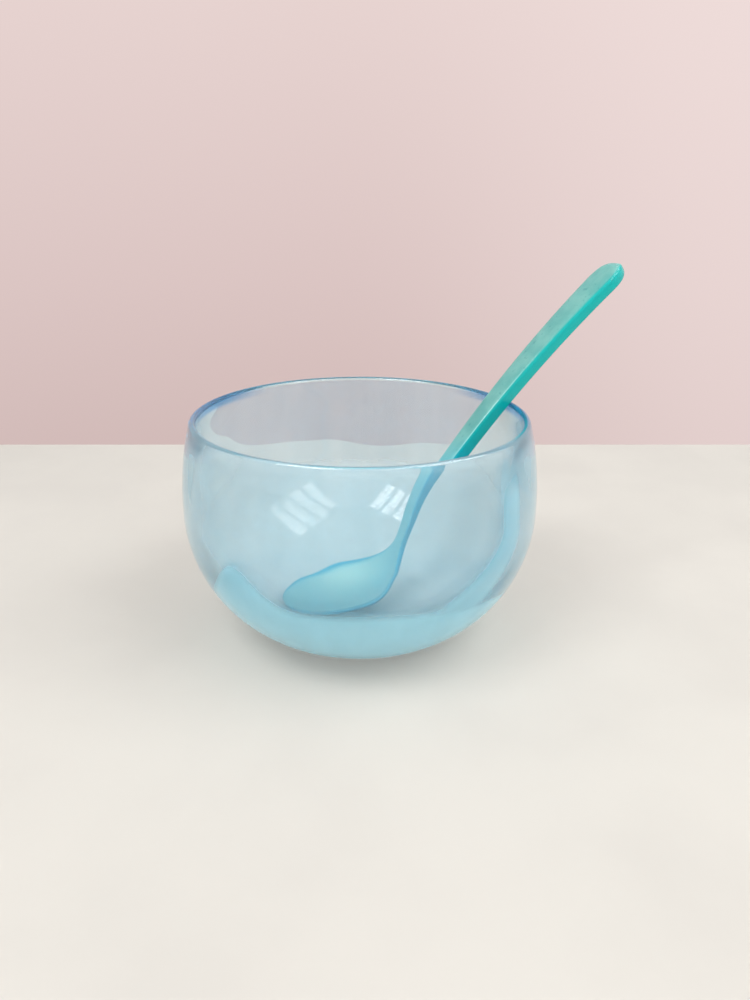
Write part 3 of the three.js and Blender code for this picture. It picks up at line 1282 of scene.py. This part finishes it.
@dataclass
class Stage:
    """The plain floor, with a straight far edge, and the pale surroundings that light the bowl.

    The spans and places of the surroundings are shares of a direction: 1 is straight up, ahead or right.
    """

    viewpoint: Viewpoint
    finish: PaleFloor
    far_edge: float = 206.0 * MM
    reach: float = 2.5
    gap: float = 0.15 * MM
    wall: tuple[tuple[float, Colour], ...] = (
        (0.0, (0.62, 0.475, 0.46)),
        (0.42, (0.71, 0.56, 0.545)),
        (1.0, (0.81, 0.665, 0.645)),
    )
    wall_foot: float = -0.35
    wall_height: float = 0.6
    wall_ahead: Span = (0.0, 0.45)
    wall_ends: Span = (0.25, 0.7)
    wall_bright: Colour = (1.0, 0.87, 0.85)
    wall_bright_share: float = 0.35
    wall_bright_right: Span = (-0.05, 0.5)
    room_low: Colour = (0.84, 0.84, 0.84)
    room_high: Colour = (0.50, 0.50, 0.50)
    room_rises: Span = (0.0, 0.9)
    room_front: Colour = (0.88, 0.88, 0.88)
    room_behind_camera: Span = (0.1, 0.8)

    def build_floor(self) -> bpy.types.Object:
        """Makes the floor.

        Returns:
            The floor's object.
        """
        near, far, side = -self.reach, self.far_edge, self.reach
        ahead, right = self.viewpoint.forward(), self.viewpoint.right()
        drop = Vector((0.0, 0.0, -self.gap))
        places = ((-side, near), (side, near), (side, far), (-side, far))
        mesh = bpy.data.meshes.new("pale_floor")
        mesh.from_pydata([right * x + ahead * y + drop for x, y in places], [], [(0, 1, 2, 3)])
        mesh.materials.append(self.finish.material())
        floor = bpy.data.objects.new("pale_floor", mesh)
        bpy.context.scene.collection.objects.link(floor)
        return floor

    def build_surroundings(self) -> None:
        """Lights the scene from a pale world: a soft wall colour ahead, a pale room above and behind."""
        world = bpy.data.worlds.new("pale_studio")
        world.use_nodes = True
        world.node_tree.nodes.clear()
        graph = Graph(world.node_tree)
        direction = graph.add("ShaderNodeTexCoord", output="Generated")
        up = graph.add("ShaderNodeSeparateXYZ", {}, {"Vector": direction}, "Z")
        dot = {"operation": "DOT_PRODUCT"}
        ahead, right = (
            graph.add("ShaderNodeVectorMath", dot, {0: direction, 1: axis}, "Value")
            for axis in (self.viewpoint.forward(), self.viewpoint.right())
        )
        on_wall = (up - self.wall_foot) / self.wall_height
        wall = graph.add("ShaderNodeValToRGB", {"stops": self.wall}, {"Fac": on_wall})
        bright = right.rise(*self.wall_bright_right) * self.wall_bright_share
        wall = graph.mix(bright, wall, self.wall_bright)
        room = graph.mix(up.rise(*self.room_rises), self.room_low, self.room_high)
        room = graph.mix((ahead * -1.0).rise(*self.room_behind_camera), room, self.room_front)
        wall_share = ahead.rise(*self.wall_ahead) * (1.0 - up.rise(*self.wall_ends))
        colour = graph.mix(wall_share, room, wall)
        light = graph.add("ShaderNodeBackground", {}, {"Color": colour, "Strength": 1.0})
        graph.add("ShaderNodeOutputWorld", {}, {"Surface": light})
        bpy.context.scene.world = world


@dataclass(frozen=True)
class Softbox:
    """One large soft lamp with a grid, aimed at the bowl.

    Its azimuth is turned from the direction in which the camera looks, positive to the right. Its bars
    are a share of each field of the grid.
    """

    name: str
    azimuth: float
    elevation: float
    width: float
    depth: float
    power: float
    columns: float
    rows: float
    distance: float = 0.9
    bar: float = 0.28
    bar_blur: float = 0.04

    def build(self, target: Vector, ahead: Vector) -> bpy.types.Object:
        """Makes the lamp.

        Args:
            target: The point that it is aimed at.
            ahead: The level direction in which the camera looks.

        Returns:
            The lamp.
        """
        data = bpy.data.lights.new(self.name, "AREA")
        data.shape = "RECTANGLE"
        data.size = self.width
        data.size_y = self.depth
        data.energy = self.power
        self._add_grid(data)
        level = Matrix.Rotation(-self.azimuth, 3, "Z") @ ahead
        towards = level * math.cos(self.elevation) + Vector((0.0, 0.0, math.sin(self.elevation)))
        lamp = bpy.data.objects.new(self.name, data)
        lamp.location = target + towards * self.distance
        lamp.rotation_euler = (-towards).to_track_quat("-Z", "Y").to_euler()
        bpy.context.scene.collection.objects.link(lamp)
        return lamp

    def _add_grid(self, data: bpy.types.AreaLight) -> None:
        """Puts the grid of a studio softbox in front of the lamp.

        Args:
            data: The lamp's data.
        """
        data.use_nodes = True
        data.node_tree.nodes.clear()
        graph = Graph(data.node_tree)
        place = graph.add("ShaderNodeNewGeometry", output="Parametric")
        across = graph.add("ShaderNodeSeparateXYZ", {}, {"Vector": place}, "X")
        between_columns, between_rows = (
            (along * count % 1.0).rise(self.bar - self.bar_blur, self.bar + self.bar_blur)
            for along, count in ((across, self.columns), (across.other("Y"), self.rows))
        )
        openings = between_columns * between_rows
        glow = graph.add("ShaderNodeEmission", {}, {"Color": openings, "Strength": 1.0})
        graph.add("ShaderNodeOutputLight", {}, {"Surface": glow})


SOFTBOXES = (
    Softbox("right_softbox", azimuth=math.radians(112.0), elevation=math.radians(50.0),
            width=0.75, depth=0.60, power=9.5, columns=4.0, rows=9.0),
    Softbox("left_softbox", azimuth=math.radians(-132.0), elevation=math.radians(56.0),
            width=0.45, depth=0.35, power=7.0, columns=3.0, rows=6.0),
)


def main() -> None:
    """Builds the stage, the bowl and the spoon."""
    logging.basicConfig(level=logging.INFO, format="%(name)s: %(message)s")
    scene = bpy.context.scene
    scene.view_settings.view_transform = "Standard"
    scene.cycles.max_bounces = LIGHT_BOUNCES
    scene.cycles.glossy_bounces = LIGHT_BOUNCES
    scene.cycles.transmission_bounces = LIGHT_BOUNCES
    scene.cycles.volume_bounces = HAZE_BOUNCES
    viewpoint = Viewpoint()
    viewpoint.build()
    stage = Stage(viewpoint, PaleFloor())
    stage.build_floor()
    stage.build_surroundings()
    for softbox in SOFTBOXES:
        softbox.build(LAMP_TARGET, viewpoint.forward())
    for part in (GlassBowl(BlownGlass(), GlassMarks()), ServingSpoon(CastResin())):
        piece = part.build()
        part.dress(piece)
        LOG.info("%s: %d faces, on body %s", piece.name, len(piece.data.polygons), part.body)


if __name__ == "__main__":
    main()
